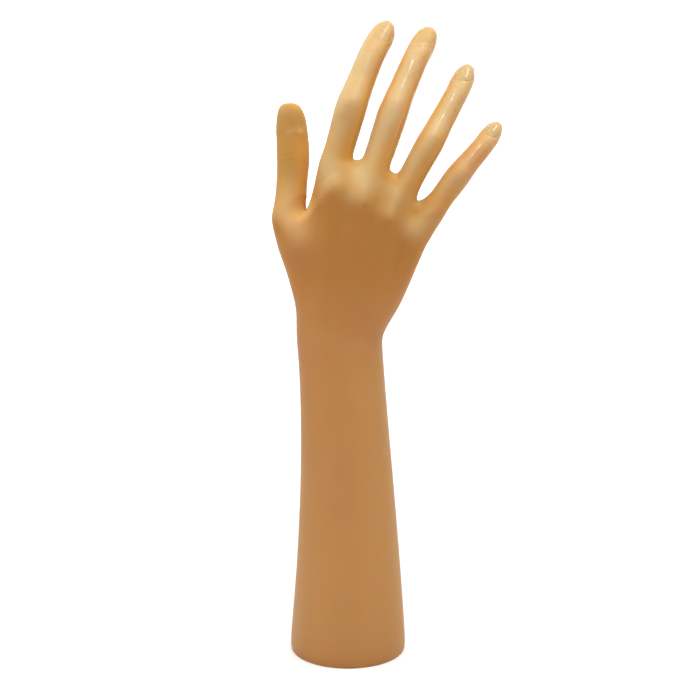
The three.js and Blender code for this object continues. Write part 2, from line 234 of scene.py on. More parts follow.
# the root and the joints in order, the tip of the nail, and the ends of the bones
def fingerSeats(finger):
    directions = [boneDirection(bone) for bone in finger["bones"]]
    ends = [np.array(finger["root"], float)]
    for bone, direction in zip(finger["bones"], directions):
        ends.append(ends[-1] + direction * bone[0])
    joints = [seat(ends[0], directions[0], finger)]
    for place, before, after in zip(ends[1:], directions, directions[1:]):
        joints.append(seat(place, unit(before + after), finger))
    return joints, seat(ends[-1], directions[-1], finger), ends


seats = {name: fingerSeats(finger) for name, finger in fingerLayout.items()}


def localTo(spot, points):
    away = points - spot["place"]
    return away @ spot["along"], away @ spot["back"], away @ spot["side"]


def bell(distance, spread):
    return np.exp(-(distance / spread) ** 2)


# the two places can be one, so the length that is divided by has a least value
leastLength = 1e-6


# distance of points from the straight piece between two places
def segmentDistance(points, start, end):
    start, end = np.array(start, float), np.array(end, float)
    step = end - start
    share = np.clip((points - start) @ step / max(step.dot(step), leastLength), 0, 1)
    return np.linalg.norm(points - start - share[:, None] * step, axis=1)


# distance of points from the bones of a finger
def boneDistance(name, points):
    ends = seats[name][2]
    return np.min([segmentDistance(points, *bone) for bone in zip(ends, ends[1:])], axis=0)


def smoothStep(value, low, high):
    share = np.clip((value - low) / (high - low), 0, 1)
    return share * share * (3 - 2 * share)


# one near the bones of a finger and nothing further out; both distances in finger widths
def nearBones(name, points, outer, inner):
    width = fingerLayout[name]["width"]
    return smoothStep(boneDistance(name, points), outer * width, inner * width)


# the skin starts as a copy of the moulding, with its faces paired up again and rounded
skinSetup = {
    "merge": 0.002,             # points this near become one
    "rounding": 2,              # times each face is divided
    "foldMargin": 0.9,          # faces this near to a fold are halved once more
    "deepFold": 0.1,            # if it is at least this deep
    "foldLeft": 0.2,            # and more than this share of it is left there
    "nailRoot": 0.36,           # at a nail only past this share of its length from its middle
    "soften": 3,                # rounds of smoothing after that
    "smoothing": 0.5,           # how far each round goes
    "fill": 0.15,               # rounding draws the fingers in by this much, and it is put back
    "fillReach": (0.85, 0.6),   # finger widths from the bones, from none to all
}


def copyMoulding():
    pick(nodes["hand_shell"])
    bpy.ops.object.duplicate()
    skin = bpy.context.object
    skin.name = "hand_skin"
    skin.data.name = "hand_skin"
    for key in list(skin.keys()):
        del skin[key]
    bpy.ops.object.mode_set(mode="EDIT")
    bpy.ops.mesh.select_all(action="SELECT")
    bpy.ops.mesh.remove_doubles(threshold=skinSetup["merge"] * mm)
    bpy.ops.mesh.tris_convert_to_quads(face_threshold=math.pi, shape_threshold=math.pi)
    bpy.ops.object.mode_set(mode="OBJECT")
    rounding = skin.modifiers.new("rounding", "SUBSURF")
    rounding.levels = skinSetup["rounding"]
    rounding.render_levels = skinSetup["rounding"]
    bpy.ops.object.modifier_apply(modifier=rounding.name)
    return skin


def vectorsOf(items, name):
    values = np.zeros(len(items) * 3)
    items.foreach_get(name, values)
    return values.reshape(-1, 3)


def pointsOf(obj):
    return vectorsOf(obj.data.vertices, "co") / mm


def normalsOf(obj):
    return vectorsOf(obj.data.vertices, "normal")


# nails: the outline cast with the moulding is smoothed, then each nail is drawn where it lies: size,
# shift to the little finger side, slant of its ends, rounding of its corners as a share of half its
# width, share of the plate's relief, depth of its fold, what lies beyond the fold (how far, height and
# spread), height of its free edge, gloss (how much and how far past the outline) and share of its tone
nailSetup = {
    "index": {
        "size": (7.6, 14.8), "shift": -0.1, "slant": 0.35, "corner": 0.6, "plate": 0.22,
        "fold": 0.05, "beyond": (1.1, 0.08, 0.9), "edge": 0.06, "gloss": (0.35, 0.0), "tone": 0.5,
    },
    "middle": {
        "size": (9.0, 12.4), "shift": -1.2, "slant": 0.45, "corner": 0.4, "plate": 0.1,
        "fold": 0.05, "beyond": (2.4, -0.08, 0.45), "edge": 0.04, "gloss": (-0.5, 4.0), "tone": 0.65,
    },
    "ring": {
        "size": (8.0, 12.2), "shift": -0.6, "slant": 0.42, "corner": 0.6, "plate": 0.4,
        "fold": 0.08, "beyond": (1.1, 0.1, 0.8), "edge": 0.06, "gloss": (0.7, 0.0), "tone": 0.7,
    },
    "little": {
        "size": (6.0, 11.4), "shift": -0.9, "slant": 0.3, "corner": 0.8, "plate": 0.4,
        "fold": 0.07, "beyond": (1.1, 0.08, 0.8), "edge": 0.06, "gloss": (0.85, 0.0), "tone": 0.7,
    },
    "thumb": {
        "size": (12.4, 15.5), "shift": 0.0, "slant": 0.0, "corner": 0.8, "plate": 0.0,
        "fold": 0.0, "beyond": (1.1, 0.08, 1.4), "edge": 0.1, "gloss": (0.0, 0.0), "tone": 0.25,
    },
}
# spread of the folds and free edges; corners, reach and rounds of smoothing of the outline as cast;
# rise of a plate with all its relief, the groove round it and the softness of both
nailSpread = {"fold": 0.32, "edge": 0.6}
castNail = {"corner": 0.8, "reach": 1.5, "soften": 25}
plateShape = {"rise": 0.15, "groove": 0.2, "soft": 0.7}
# the tip and the root of a nail, from none to all, as shares of its length from its middle;
# along the sides only a share of the fold is left
nailEnds = {"tip": (0.2, 0.42), "root": (0.1, 0.4), "sideFold": 0.4}


# distance from the outline of a nail, below zero on the plate, and the place along the nail
def nailDistance(name, nail, points):
    spot = seats[name][1]
    width, length = nail["size"]
    fromTip, back, side = localTo(spot, points)
    across = side - nail["shift"]
    along = fromTip + length / 2 - nail["slant"] * across
    corner = nail["corner"] * width / 2
    sideways = np.abs(across) - width / 2 + corner
    lengthways = np.abs(along) - length / 2 + corner
    outside = np.hypot(np.maximum(sideways, 0), np.maximum(lengthways, 0))
    away = outside + np.minimum(np.maximum(sideways, lengthways), 0) - corner
    return np.where((back > 0) & (outside < spot["width"]), away, np.inf), along / length


# the outline cast with the moulding, square to the finger
def castOutline(name):
    return {"size": fingerLayout[name]["nail"], "shift": 0.0, "slant": 0.0, "corner": castNail["corner"]}


def plateHeight(away):
    soft = plateShape["soft"]
    return plateShape["rise"] * smoothStep(-away, -soft, soft) - plateShape["groove"] * bell(away, soft)


def nailRelief(name, points):
    nail = nailSetup[name]
    away, along = nailDistance(name, nail, points)
    towardTip = smoothStep(along, *nailEnds["tip"])
    towardRoot = smoothStep(-along, *nailEnds["root"])
    beyond, height, spread = nail["beyond"]
    sides = nailEnds["sideFold"]
    fold = nail["fold"] * bell(away, nailSpread["fold"]) * (sides + (1 - sides) * towardRoot)
    fold *= 1 - towardTip
    rim = height * bell(away - beyond, spread) * towardRoot
    edge = nail["edge"] * bell(away + nailSpread["edge"], nailSpread["edge"]) * towardTip
    return nail["plate"] * plateHeight(away) + rim + edge - fold


# folds across the joints: joint, offset along the finger, reach across it as a share of its width,
# spread, depth, and the side of the finger they lie on
foldValues = ("joint", "offset", "reach", "spread", "depth", "face")
foldSetup = {
    "index": [
        (1, -1.6, 0.22, 0.6, 0.06, "back"),
        (1, 0.9, 0.26, 0.6, 0.06, "back"),
        (2, 0.4, 0.30, 0.6, 0.05, "back"),
    ],
    "middle": [
        (1, 0.6, 0.25, 0.6, 0.05, "back"),
        (2, 1.6, 0.30, 0.6, 0.05, "back"),
    ],
    "ring": [(1, 0.5, 0.25, 0.6, 0.05, "back"), (2, 1.2, 0.30, 0.6, 0.06, "back")],
    "little": [(1, 0.4, 0.25, 0.6, 0.05, "back"), (2, 1.2, 0.30, 0.6, 0.06, "back")],
    "thumb": [(1, -1.2, 0.30, 0.7, 0.06, "back"), (1, 1.4, 0.30, 0.7, 0.06, "back")],
}
# every joint has a fold on the pad side, and the first one past the root a second, shallower one
padFold = {"reach": 0.5, "spread": 0.7, "depth": 0.4, "twin": 1.8}
# all folds are bowed, and start on their side of the finger within this share of its width
foldShape = {"bow": 0.04, "start": 0.25}


def allFolds(name):
    folds = list(foldSetup[name])
    reach, spread, depth = padFold["reach"], padFold["spread"], padFold["depth"]
    for number in range(len(seats[name][0])):
        folds.append((number, 0.0, reach, spread, depth, "pad"))
    folds.append((1, padFold["twin"], reach, spread, depth / 2, "pad"))
    return [dict(zip(foldValues, fold)) for fold in folds]


# how far a point lies from a fold, and how much of the fold is left there
def foldDistance(name, fold, points):
    spot = seats[name][0][fold["joint"]]
    width = spot["width"]
    along, back, side = localTo(spot, points)
    facing = back if fold["face"] == "back" else -back
    near = np.hypot(np.hypot(along, side), back) < width
    left = bell(side, fold["reach"] * width) * smoothStep(facing, 0, foldShape["start"] * width) * near
    return along - fold["offset"] + foldShape["bow"] * side * side, left


# the back of a finger is a little raised over its joints and hollow between them:
# height, and spread along the finger as a share of its width
jointRelief = {"joint": (0.2, 0.3), "hollow": (-0.2, 0.4)}
# in finger widths: how far behind the bones it is full, where it ends, and its spread across
jointReach = {"full": 0.3, "end": 0.9, "across": 0.45}


def jointHeight(name, points):
    joints = seats[name][0]
    height = np.zeros(len(points))
    spots = [(joint, jointRelief["joint"]) for joint in joints[1:]]
    for before, after in zip(joints[1:], joints[2:]):
        middle = dict(before, place=(before["place"] + after["place"]) / 2)
        spots.append((middle, jointRelief["hollow"]))
    for spot, (rise, spread) in spots:
        along, back, side = localTo(spot, points)
        width = spot["width"]
        within = np.hypot(side, back) < jointReach["end"] * width
        near = smoothStep(back, 0, jointReach["full"] * width) * within
        height += rise * bell(along, spread * width) * bell(side, jointReach["across"] * width) * near
    return height


# lines of the palm, as points across and up the hand, with their depth
palmLines = {
    "lifeLine": {"depth": 0.45, "route": [(-13, 234), (-4, 228), (2, 217), (2, 204), (-4, 190), (-9, 183)]},
    "headLine": {"depth": 0.35, "route": [(-13, 234), (0, 228), (13, 220), (24, 210)]},
    "heartLine": {"depth": 0.4, "route": [(38, 221), (27, 223), (15, 229), (5, 239)]},
    "wristLine": {"depth": 0.3, "route": [(-22, 174), (-10, 172.4), (4, 172), (16, 174)]},
}
palmShape = {
    "spread": 0.7,
    "steps": 10,                # between two points
    "ends": 0.2,                # share of a line over which it fades at each end
    "facing": (0.1, 0.5),       # lines come in where the skin turns to the palm side
}


# a smooth route through the given points
def smoothRoute(route):
    corners = np.array(route, float)
    padded = np.vstack([2 * corners[0] - corners[1], corners, 2 * corners[-1] - corners[-2]])
    share = np.linspace(0, 1, palmShape["steps"], endpoint=False)[:, None]
    pieces = []
    for a, b, c, d in zip(padded, padded[1:], padded[2:], padded[3:]):
        bend = (2 * a - 5 * b + 4 * c - d) * share ** 2 + (3 * b - a - 3 * c + d) * share ** 3
        pieces.append((2 * b + (c - a) * share + bend) / 2)
    return np.vstack(pieces + [corners[-1:]])


# distance on the palm side from a route, and how much of the line is left towards its ends
def routeDistance(route, points, normals):
    line = smoothRoute(route)
    flat = points[:, [0, 2]]
    away = np.full(len(points), np.inf)
    where = np.zeros(len(points))
    for number, (start, end) in enumerate(zip(line, line[1:])):
        step = end - start
        share = np.clip((flat - start) @ step / step.dot(step), 0, 1)
        gap = np.linalg.norm(flat - start - share[:, None] * step, axis=1)
        where = np.where(gap < away, (number + share) / (len(line) - 1), where)
        away = np.minimum(gap, away)
    ends = smoothStep(where, 0, palmShape["ends"]) * smoothStep(1 - where, 0, palmShape["ends"])
    return away, ends * smoothStep(normals[:, 1], *palmShape["facing"]) * (points[:, 1] > 0)


# small ridges and hollows on the back of the hand, the fingers and the wrist: from, to, spread, height
backRelief = {
    "ringTendon": ((21.9, -14.5, 241.5), (20.6, -19.2, 229.0), 2.0, 0.5),
    "middleTendon": ((6.8, -18.5, 244.0), (4.0, -20.0, 212.0), 2.6, 0.3),
    "indexTendon": ((-8.5, -17.5, 248.0), (-8.0, -18.0, 214.0), 2.6, 0.15),
    "littleTendon": ((34.0, -15.0, 226.0), (24.0, -14.0, 203.0), 2.4, 0.3),
    "dimple": ((8.2, -20.6, 235.6), (8.2, -20.6, 235.6), 1.2, -0.3),
    "valleyIndexMiddle": ((-1.0, -19.5, 241.0), (-2.0, -19.5, 226.0), 2.6, -0.25),
    "valleyMiddleRing": ((14.0, -18.5, 236.0), (9.0, -18.5, 220.0), 2.6, -0.25),
    "thumbTendon": ((-27.5, -8.0, 236.0), (-19.0, -14.0, 205.0), 2.4, 0.3),
    "thumbFold": ((-29.0, -2.3, 267.2), (-22.4, -1.4, 269.4), 1.6, 0.22),
    "middleDent": ((25.9, -0.6, 295.0), (29.5, -0.9, 293.4), 1.5, -0.1),
    "wristCrease": ((-9.0, -15.6, 172.0), (12.0, -12.5, 171.0), 1.6, -0.12),
}


def reliefHeight(points, start, end, spread, height):
    return height * bell(segmentDistance(points, start, end), spread)


# edit mode, with only the chosen faces or points selected
def editChosen(skin, kind, chosen):
    pick(skin)
    bpy.ops.object.mode_set(mode="EDIT")
    bpy.ops.mesh.select_mode(type=kind)
    bpy.ops.mesh.select_all(action="DESELECT")
    bpy.ops.object.mode_set(mode="OBJECT")
    items = skin.data.polygons if kind == "FACE" else skin.data.vertices
    items.foreach_set("select", chosen)
    bpy.ops.object.mode_set(mode="EDIT")


# faces along the folds are halved, so that the folds come out crisp
def refineFolds(skin):
    points = vectorsOf(skin.data.polygons, "center") / mm
    normals = vectorsOf(skin.data.polygons, "normal")
    margin, least = skinSetup["foldMargin"], skinSetup["foldLeft"]
    chosen = np.zeros(len(points), bool)
    for name, nail in nailSetup.items():
        away, along = nailDistance(name, nail, points)
        atRoot = along < -skinSetup["nailRoot"]
        chosen |= (away > -margin) & (away < nail["beyond"][0] + margin) & atRoot
        for fold in allFolds(name):
            away, left = foldDistance(name, fold, points)
            deep = fold["depth"] >= skinSetup["deepFold"]
            chosen |= (np.abs(away) < margin) & (left > least) & deep
    for line in palmLines.values():
        away, left = routeDistance(line["route"], points, normals)
        chosen |= (away < margin) & (left > least)
    editChosen(skin, "FACE", chosen)
    bpy.ops.mesh.subdivide(number_cuts=1)
    bpy.ops.mesh.vertices_smooth(factor=skinSetup["smoothing"], repeat=skinSetup["soften"])
    bpy.ops.object.mode_set(mode="OBJECT")


# the webs between the fingers are soft: place and reach of each, and rounds of smoothing
webSetup = {
    "places": {
        "indexMiddle": ((4.6, -8.0, 256.0), 6.0),
        "middleRing": ((20.4, -7.5, 251.5), 6.0),
        "ringLittle": ((31.6, -8.0, 232.5), 6.0),
        "thumbIndex": ((-21.0, -6.0, 229.0), 9.0),
    },
    "soften": 60,
}


def soften(skin, chosen, repeat):
    editChosen(skin, "VERT", chosen)
    bpy.ops.mesh.vertices_smooth(factor=skinSetup["smoothing"], repeat=repeat)
    bpy.ops.object.mode_set(mode="OBJECT")


def softenWebs(skin):
    points = pointsOf(skin)
    near = np.zeros(len(points), bool)
    for place, reach in webSetup["places"].values():
        near |= np.linalg.norm(points - np.array(place), axis=1) < reach
    soften(skin, near, webSetup["soften"])


def softenCastNails(skin):
    points = pointsOf(skin)
    near = np.zeros(len(points), bool)
    for name in fingerLayout:
        away, along = nailDistance(name, castOutline(name), points)
        near |= np.abs(away) < castNail["reach"]
    soften(skin, near, castNail["soften"])


# the skin is not quite even: a slow waver, which comes in between two heights, breaks up the highlights
waverSetup = {"size": 6.0, "height": 0.3, "from": 225.0, "to": 262.0}


def addWaver(skin):
    share = smoothStep(pointsOf(skin)[:, 2], waverSetup["from"], waverSetup["to"])
    group = skin.vertex_groups.new(name="fingers")
    for index in np.nonzero(share)[0]:
        group.add([int(index)], float(share[index]), "REPLACE")
    clouds = bpy.data.textures.new("waver", "CLOUDS")
    clouds.noise_scale = waverSetup["size"] * mm
    waver = skin.modifiers.new("waver", "DISPLACE")
    waver.texture = clouds
    waver.texture_coords = "LOCAL"
    waver.vertex_group = group.name
    waver.strength = waverSetup["height"] * mm
    pick(skin)
    bpy.ops.object.modifier_apply(modifier=waver.name)
    skin.vertex_groups.clear()


def sculpt(skin):
    points, normals = pointsOf(skin), normalsOf(skin)
    height = np.zeros(len(points))
    for name in fingerLayout:
        height += skinSetup["fill"] * nearBones(name, points, *skinSetup["fillReach"])
        height += nailRelief(name, points) + jointHeight(name, points)
        for fold in allFolds(name):
            away, left = foldDistance(name, fold, points)
            height -= fold["depth"] * bell(away, fold["spread"]) * left
    for line in palmLines.values():
        away, left = routeDistance(line["route"], points, normals)
        height -= line["depth"] * bell(away, palmShape["spread"]) * left
    for relief in backRelief.values():
        height += reliefHeight(points, *relief)
    moved = (points + normals * height[:, None]) * mm
    skin.data.vertices.foreach_set("co", moved.ravel())
    skin.data.update()


skin = copyMoulding()
refineFolds(skin)
softenWebs(skin)
softenCastNails(skin)
addWaver(skin)
sculpt(skin)
pick(skin)
bpy.ops.object.shade_smooth()
skin.data.calc_loop_triangles()
print("skin modelled:", len(skin.data.polygons), "faces,", len(skin.data.loop_triangles), "triangles")


def paint(obj, name, values):
    layer = obj.data.attributes.new(name, "FLOAT", "POINT")
    layer.data.foreach_set("value", values.astype(np.float32))


# tones of the vinyl and where they lie, from none to all: heights and places across in millimetres,
# and how far the surface turns up or to a side, as a part of its normal
vinylSetup = {
    "deepTone": (0.585, 0.245, 0.041, 1),       # the hand where no other tone lies
    "armTone": (0.652, 0.281, 0.08, 1),
    "arm": (212.0, 160.0),
    # painted shade: the sides of the arm and its foot take this darker tone
    "armSideShadeTone": (0.53, 0.235, 0.064, 1),     # both sides of the arm
    "armSideShade": (205.0, 170.0),
    "armRight": (0.2, 1.0),
    "armLeft": (0.3, 1.0),
    "armLeftShare": 0.65,
    # painted shade, darker towards the foot
    "foot": (60.0, 0.0),                        # the arm also takes its edge tone down here
    "footShare": 0.45,
    # painted light: what turns up takes a paler tone for the light that falls on it from above
    "litFromAboveTone": (0.65, 0.38, 0.12, 1),        # what turns up
    "litFromAbove": (-0.15, 0.5),
    "thumbTone": (0.655, 0.35, 0.075, 1),
    "thumbAcross": (-14.0, -22.0),
    "thumbHeight": (228.0, 246.0),
    "thumbShare": 0.8,
    # painted light: the glow tone brightens lit places on the thumb and the knuckles
    "glowTone": (0.88, 0.53, 0.215, 1),
    # painted light: the pale tone stands for the strong light on the fingers and the knuckles, with a
    # painted sheen in places
    "paleLightTone": (0.72, 0.515, 0.245, 1),
    # painted glow: the edge tone stands for light coming through the thin edges of the fingers and the webs
    "edgeTone": (0.68, 0.32, 0.045, 1),
    # painted glow: the thumb's side to the index finger takes a bright warm tone for light coming through
    # it
    "thumbSideGlowTone": (0.88, 0.45, 0.09, 1),     # the thumb's side to the index finger
    "thumbSideGlow": (-0.2, 0.9),
    "thumbSideGlowHeight": (272.0, 256.0),
    "thumbSideGlowShare": 0.8,
    # painted shade: what looks straight up takes a darker tone that holds back the light from above
    "topTone": (0.52, 0.355, 0.125, 1),         # what looks straight up
    "top": (0.55, 0.95),
    "topHeight": (222.0, 228.0),
    "topShare": 0.7,
    "blushTone": (0.60, 0.24, 0.09, 1),
    "blushRange": (0.35, 0.9),                  # its strength varies with the patches of the surface
    "blushAll": 0.12,                           # a little of it is everywhere
    "nailTone": (0.56, 0.385, 0.145, 1),
    # painted shade: the fold tone darkens the folds, the palm lines, the dimple and the other dark marks
    "foldTone": (0.36, 0.13, 0.03, 1),
    "foldShare": 0.6,
    "roughArm": 0.5,
    "roughFinger": 0.2,
    "uneven": (-0.05, 0.05),                    # added to the roughness by patches
    "coatRoughness": 0.13,
    "specular": 0.3,
    "subsurface": 0.6,
    "subsurfaceScale": 0.005,
    "subsurfaceRadius": (1.0, 0.45, 0.15),
    "scales": (28.0, 900.0),                    # of the patches and of the grain
    "bump": (0.12, 0.1),                        # strength, and depth in millimetres
}
# tones laid over the deep tone in this order, below the blush and above it
vinylLayers = {
    "below": ("arm", "armSideShade", "litFromAbove", "thumb", "glow", "paleLight", "edge", "thumbSideGlow", "top"),
    "above": ("nail", "fold"),
}
# for each finger the share of the pale tone, which is painted light, at its root and past its middle joint,
# how much painted glow its edges take on the thumb side and on the other side, and its gloss
fingerLooks = {
    "index": {"paleLight": (0.3, 1.0), "edgeGlow": (0.0, 0.9), "gloss": 0.25},
    "middle": {"paleLight": (0.55, 1.0), "edgeGlow": (0.7, 0.85), "gloss": 0.6},
    "ring": {"paleLight": (0.3, 1.0), "edgeGlow": (0.8, 0.8), "gloss": 0.45},
    "little": {"paleLight": (0.25, 0.7), "edgeGlow": (0.8, 0.6), "gloss": 0.4},
}
# how the looks of a finger change along it, from none to all
fingerBlend = {
    "reach": (1.0, 0.65),           # finger widths from the bones
    "paleLight": (-18.0, 2.0),           # millimetres past the root, as in the next two
    "edge": (-4.0, 8.0),
    "gloss": (2.0, 26.0),
    "paleFull": 6.0,                # millimetres past the first bone
    "firstBone": 0.5,               # the first bone counts up to this share of it, then less and less
    "lastBone": (0.8, 8.0),         # share of the second bone, and millimetres past it
    "leftEdge": (0.35, 0.95),       # how far the surface turns to the thumb side
    "rightEdge": (-0.05, 0.75),     # and to the other side
    "firstLess": 0.8,               # so much less warm on the thumb side of the first bone
    "firstWider": 0.3,              # so much wider on its other side
    "lastLess": 0.35,               # so much less warm on the last bone
}
# how dark the folds are: at a nail and beyond it for each millimetre of depth, across a joint, in the palm
foldShade = {"nail": 3.0, "beyond": 2.0, "joint": 0.2, "palm": 0.4}
# the dark fold of a nail: its spread and how it comes in towards the root; and the soft edge of a plate
nailShade = {"spread": 0.4, "root": (-0.1, 0.3), "edge": 0.6}
# pale patches of painted light and sheen, warm patches of painted glow, glowing patches of painted light,
# blushing patches of the vinyl's own tone, and dark marks of painted shade: from, to, reach and strength;
# a strength below zero takes some of the tone away, and where that tone is painted light this paints shade
paleLightPatches = {
    "indexKnuckle": ((-10.0, -15.5, 252.5), (-9.0, -16.5, 249.5), 6.0, 0.6),
    "indexJoint": ((-1.1, -10.4, 278.0), (2.2, -10.0, 281.3), 5.0, -0.45),
    "knuckleValley": ((-0.5, -13.5, 256.0), (-2.0, -18.0, 247.0), 2.6, -0.2),
    "middleKnuckle": ((5.0, -16.0, 250.0), (8.0, -18.0, 245.0), 4.5, 0.5),
    "middleKnuckleLow": ((1.3, -20.1, 241.1), (5.0, -19.5, 240.0), 4.0, 0.35),
    "thumbRoot": ((-30.2, -7.8, 233.4), (-24.0, -4.5, 247.0), 6.0, 0.22),
    "ringStripe": ((25.0, -14.7, 246.0), (20.0, -17.2, 232.5), 2.4, 0.55),
    "littleKnuckle": ((34.5, -15.2, 228.0), (33.0, -15.5, 223.5), 5.0, 0.4),
}
# painted glow, light coming through the vinyl, in warm patches
edgeGlowPatches = {
    "indexMiddleWeb": ((2.6, -13.0, 254.5), (3.7, -12.8, 254.2), 2.6, 0.3),
    "middleRingWeb": ((25.3, -11.0, 248.9), (25.3, -11.0, 248.9), 2.6, 0.3),
    "middleRoot": ((18.1, -13.8, 249.5), (22.9, -12.9, 246.8), 4.0, 0.45),
    "middleTip": ((37.4, 7.3, 304.0), (37.4, 7.3, 304.0), 3.0, 0.2),
    "ringSide": ((37.3, -11.4, 258.8), (43.5, -9.5, 264.5), 4.5, 0.43),
    "ringRoot": ((42.0, -11.0, 239.0), (32.6, -13.5, 231.3), 3.5, 0.45),
    "littleSide": ((61.6, -6.9, 253.0), (66.5, -3.5, 257.2), 4.5, 0.45),
    "ringLittleWeb": ((31.5, -12.0, 235.0), (33.0, -12.5, 233.5), 3.2, 0.5),
    "thumbWeb": ((-23.5, -8.5, 229.5), (-20.0, -8.5, 229.8), 3.4, 0.3),
}
# painted light in glowing patches, and painted shade where the strength is below zero
glowLightPatches = {
    "thumbSaddle": ((-27.5, -11.4, 223.0), (-26.0, -11.8, 223.0), 8.0, 0.9),
    "thumbRoot": ((-30.0, -9.0, 238.0), (-30.0, -9.0, 238.0), 9.0, 0.5),
    "thumbFold": ((-23.2, -1.5, 269.1), (-23.2, -1.5, 269.1), 2.0, 0.5),
    "thumbFoldEnd": ((-28.0, -2.2, 268.0), (-28.0, -2.2, 268.0), 1.8, 0.3),
    "thumbTip": ((-31.0, 1.0, 278.5), (-31.0, 1.0, 278.5), 3.5, 0.35),
    "thumbSide": ((-35.1, -7.5, 223.4), (-30.2, -10.9, 219.3), 4.5, -0.4),
    "backOfHand": ((-15.5, -17.0, 222.0), (-12.0, -18.5, 222.0), 5.0, -0.13),
    "littleGlow": ((34.0, -15.3, 226.0), (34.0, -15.3, 226.0), 7.0, 0.5),
}
blushPatches = {
    "thumbBase": ((-22.0, -13.0, 212.0), (-22.0, -13.0, 212.0), 9.0, 0.5),
    "armUpper": ((-4.0, -20.3, 102.0), (-4.0, -20.3, 102.0), 9.0, 0.6),
    "armLower": ((-3.4, -21.8, 84.0), (-3.4, -21.8, 84.0), 8.0, 0.6),
    "littleFinger": ((58.0, -8.0, 256.0), (58.0, -8.0, 256.0), 12.0, 0.6),
    "littleSide": ((61.6, -6.9, 253.0), (66.5, -3.5, 257.2), 4.5, 0.45),
}
# painted shade in dark marks: by the thumb's web, at the roots of the fingers, at a joint and in the dimple
shadeMarks = {
    "indexJoint": ((0.4, -9.2, 282.4), (1.6, -8.4, 284.2), 1.6, 0.25),
    "thumbWebShade": ((-15.0, -13.0, 239.4), (-15.0, -15.5, 235.1), 3.6, 0.5),
    "middleRootShade": ((18.1, -13.8, 249.5), (22.9, -12.9, 246.8), 3.5, 0.2),
    "ringRootShade": ((37.4, -12.4, 234.5), (32.6, -13.5, 231.3), 3.5, 0.22),
    "knuckleDimple": ((8.2, -20.6, 235.6), (8.2, -20.6, 235.6), 1.3, 0.6),
}


def patchShare(points, patches):
    share = np.zeros(len(points))
    for start, end, reach, strength in patches.values():
        share += strength * bell(segmentDistance(points, start, end), reach)
    return share


# how much painted glow, light coming through the vinyl, the edges of a finger take along it
def edgeGlowShare(name, along, sideways):
    first, second = (bone[0] for bone in fingerLayout[name]["bones"][:2])
    onFirst = 1 - smoothStep(along, fingerBlend["firstBone"] * first, first)
    begin, past = fingerBlend["lastBone"]
    onLast = smoothStep(along, first + begin * second, first + second + past)
    left, right = fingerLooks[name]["edgeGlow"]
    wider = fingerBlend["firstWider"] * onFirst
    edgeGlow = left * smoothStep(-sideways, *fingerBlend["leftEdge"]) * (1 - fingerBlend["firstLess"] * onFirst)
    edgeGlow += right * smoothStep(sideways + wider, *fingerBlend["rightEdge"])
    return edgeGlow * (1 - fingerBlend["lastLess"] * onLast)


# the pale tone, painted light, runs along each finger and fades out on the back of the hand; the edges keep
# a painted glow
def fingerTones(points, normals):
    paleLight = patchShare(points, paleLightPatches)
    edge = patchShare(points, edgeGlowPatches)
    gloss = np.zeros(len(points))
    for name, look in fingerLooks.items():
        root = seats[name][0][0]
        along = localTo(root, points)[0]
        near = nearBones(name, points, *fingerBlend["reach"])
        atRoot, beyond = look["paleLight"]
        full = fingerLayout[name]["bones"][0][0] + fingerBlend["paleFull"]
        strength = atRoot + (beyond - atRoot) * smoothStep(along, 0, full)
        edgeGlow = edgeGlowShare(name, along, normals @ root["side"])
        paleLight += strength * near * smoothStep(along, *fingerBlend["paleLight"])
        edge += edgeGlow * near * smoothStep(along, *fingerBlend["edge"])
        gloss += look["gloss"] * near * smoothStep(along, *fingerBlend["gloss"])
    return {"paleLight": paleLight, "edge": edge, "gloss": gloss}


# painted shade in the folds and dark marks, the tone of the nails, and the gloss that the nails add
def detailTones(points, normals):
    folds = patchShare(points, shadeMarks)
    nails = np.zeros(len(points))
    gloss = np.zeros(len(points))
    for name, nail in nailSetup.items():
        away, along = nailDistance(name, nail, points)
        beyond, height, spread = nail["beyond"]
        atRoot = smoothStep(-along, *nailShade["root"])
        folds += foldShade["nail"] * nail["fold"] * bell(away, nailShade["spread"]) * atRoot
        crease = foldShade["beyond"] * max(-height, 0) * bell(away - beyond, spread)
        folds += crease * smoothStep(-along, *nailEnds["root"])
        nails += nail["tone"] * smoothStep(-away, 0, nailShade["edge"])
        strength, past = nail["gloss"]
        gloss += strength * smoothStep(-away, -past, nailShade["edge"])
        for fold in allFolds(name):
            away, left = foldDistance(name, fold, points)
            folds += foldShade["joint"] * bell(away, fold["spread"]) * left
    for line in palmLines.values():
        away, left = routeDistance(line["route"], points, normals)
        folds += foldShade["palm"] * bell(away, palmShape["spread"]) * left
    return {"fold": folds, "nail": nails, "gloss": gloss}


# painted shade on the sides of the arm and down at its foot
def armSideAndFootShade(height, turn):
    sides = smoothStep(turn, *vinylSetup["armRight"])
    sides += vinylSetup["armLeftShare"] * smoothStep(-turn, *vinylSetup["armLeft"])
    foot = vinylSetup["footShare"] * smoothStep(height, *vinylSetup["foot"])
    return sides * smoothStep(height, *vinylSetup["armSideShade"]) + foot


